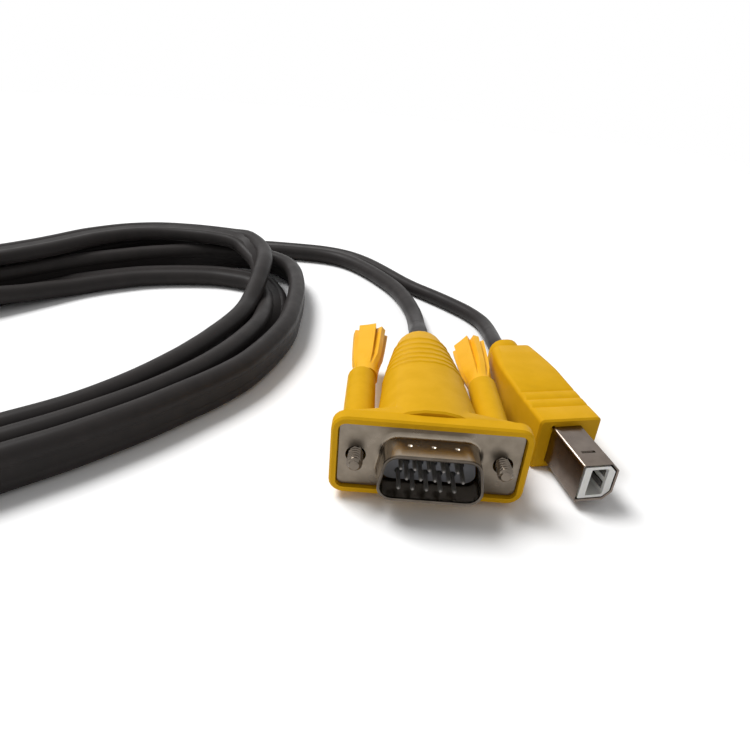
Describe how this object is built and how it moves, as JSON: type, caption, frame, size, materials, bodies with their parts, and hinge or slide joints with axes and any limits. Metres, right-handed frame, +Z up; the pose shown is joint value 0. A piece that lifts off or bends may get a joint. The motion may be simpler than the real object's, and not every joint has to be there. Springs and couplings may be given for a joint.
{
  "type": "keyboard video mouse switch cable",
  "caption": "Video and USB cable for a keyboard, video and mouse switch, coiled, with moulded plugs and thumbscrews.",
  "frame": {"origin": "bottom centre of the box round the two near plugs, on the table they lie on", "axes": "+X across the near video plug, towards the square USB plug; -Y the way the video plug faces; +Z up"},
  "size_m": [0.2447, 0.1699, 0.0173],
  "materials": {
    "yellow_moulding": "satin",
    "amber_knob": "satin",
    "tin_plate": "satin",
    "screw_steel": "bright",
    "gold_contact": "bright",
    "dark_insulator": "matt",
    "white_insulator": "satin",
    "nickel_shell": "bright",
    "black_jacket": "glossy"
  },
  "bodies": {
    "lead_and_plugs": {"far_usb_lead": "black_jacket", "far_vga_hood": "yellow_moulding", "far_vga_insulator": "dark_insulator", "far_vga_lead": "black_jacket", "far_vga_shell": "tin_plate", "lead_coil": "black_jacket", "near_usb_lead": "black_jacket", "near_vga_hood": "yellow_moulding", "near_vga_insulator": "dark_insulator", "near_vga_lead": "black_jacket", "near_vga_pin_01": "gold_contact", "near_vga_pin_02": "gold_contact", "near_vga_pin_03": "gold_contact", "near_vga_pin_04": "gold_contact", "near_vga_pin_05": "gold_contact", "near_vga_pin_06": "gold_contact", "near_vga_pin_07": "gold_contact", "near_vga_pin_08": "gold_contact", "near_vga_pin_09": "gold_contact", "near_vga_pin_10": "gold_contact", "near_vga_pin_11": "gold_contact", "near_vga_pin_12": "gold_contact", "near_vga_pin_13": "gold_contact", "near_vga_pin_14": "gold_contact", "near_vga_pin_15": "gold_contact", "near_vga_shell": "tin_plate", "usb_a_contact_1": "gold_contact", "usb_a_contact_2": "gold_contact", "usb_a_contact_3": "gold_contact", "usb_a_contact_4": "gold_contact", "usb_a_grip": "yellow_moulding", "usb_a_insulator": "white_insulator", "usb_a_shell": "nickel_shell", "usb_b_contact_1": "gold_contact", "usb_b_contact_2": "gold_contact", "usb_b_contact_3": "gold_contact", "usb_b_contact_4": "gold_contact", "usb_b_grip": "yellow_moulding", "usb_b_insulator": "white_insulator", "usb_b_shell": "nickel_shell"},
    "near_left_thumbscrew": {"near_vga_knob_left": "amber_knob", "near_vga_screw_left": "screw_steel"},
    "near_right_thumbscrew": {"near_vga_knob_right": "amber_knob", "near_vga_screw_right": "screw_steel"},
    "far_left_thumbscrew": {"far_vga_knob_left": "amber_knob", "far_vga_screw_left": "screw_steel"},
    "far_right_thumbscrew": {"far_vga_knob_right": "amber_knob", "far_vga_screw_right": "screw_steel"}
  },
  "joints": [
    {"name": "near_left_thumbscrew_turn", "type": "hinge", "parent": "lead_and_plugs", "child": "near_left_thumbscrew", "pos_m": [-0.02083, -0.02196, 0.0087], "axis": [0.0279, 0.9996, 0], "continuous": true},
    {"name": "near_right_thumbscrew_turn", "type": "hinge", "parent": "lead_and_plugs", "child": "near_right_thumbscrew", "pos_m": [0.00417, -0.02196, 0.0087], "axis": [0, 0.9997, -0.0262], "continuous": true},
    {"name": "far_left_thumbscrew_turn", "type": "hinge", "parent": "lead_and_plugs", "child": "far_left_thumbscrew", "pos_m": [-0.17284, 0.1036, 0.0087], "axis": [-0.0349, -0.9994, 0], "continuous": true},
    {"name": "far_right_thumbscrew_turn", "type": "hinge", "parent": "lead_and_plugs", "child": "far_right_thumbscrew", "pos_m": [-0.19782, 0.10447, 0.0087], "axis": [-0.0349, -0.9994, 0], "continuous": true}
  ]
}
